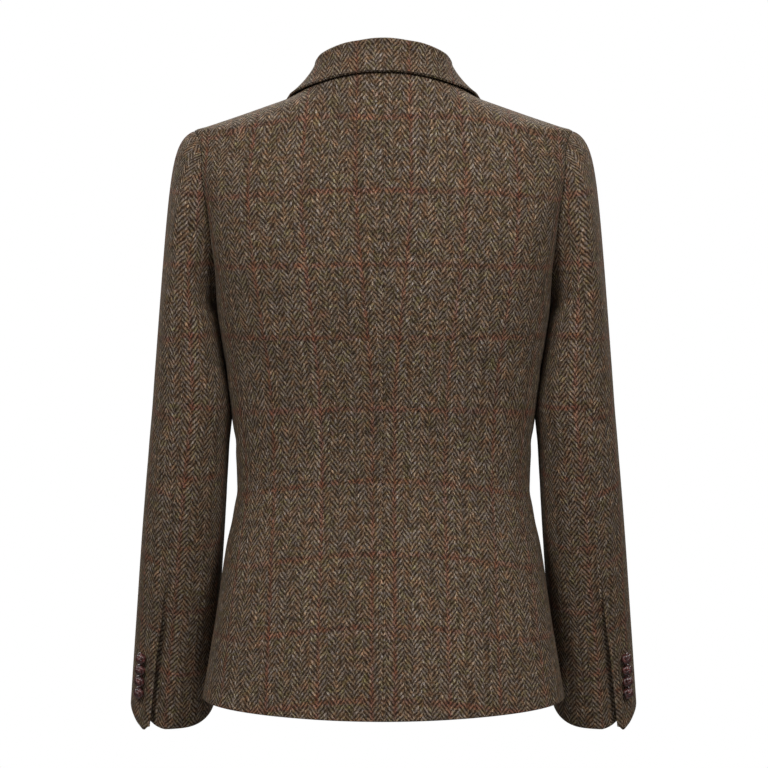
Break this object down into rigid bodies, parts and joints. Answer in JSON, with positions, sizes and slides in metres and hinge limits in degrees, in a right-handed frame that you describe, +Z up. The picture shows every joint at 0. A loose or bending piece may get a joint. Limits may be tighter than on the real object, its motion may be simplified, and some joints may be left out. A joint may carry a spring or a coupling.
{
  "type": "tweed blazer",
  "caption": "Tailored single-breasted tweed blazer, worn form, with notched lapels, a folded collar, two-piece sleeves with vented cuffs and leather knot buttons.",
  "frame": {"origin": "the nape: the middle of the back neck seam, where the collar is set on", "axes": "+Z up, the front faces -Y, +X is the wearer's left"},
  "size_m": [0.5374, 0.2727, 0.7147],
  "materials": {
    "tweed": "brown wool herringbone tweed with a rust overcheck and coloured flecks, napped, matte",
    "leather_knots": "dark brown woven leather knots, glossy"
  },
  "bodies": {
    "root": {"back_left": "tweed", "back_right": "tweed", "side_left": "tweed", "side_right": "tweed", "front_left": "tweed", "front_right": "tweed", "lapel_left": "tweed", "lapel_right": "tweed", "sleeve_upper_left": "tweed", "sleeve_upper_right": "tweed", "sleeve_under_left": "tweed", "sleeve_under_right": "tweed", "collar": "tweed", "cuff_button_left_1": "leather_knots", "cuff_button_right_1": "leather_knots", "cuff_button_left_2": "leather_knots", "cuff_button_right_2": "leather_knots", "cuff_button_left_3": "leather_knots", "cuff_button_right_3": "leather_knots", "cuff_button_left_4": "leather_knots", "cuff_button_right_4": "leather_knots", "front_button_1": "leather_knots", "front_button_2": "leather_knots"}
  },
  "joints": []
}
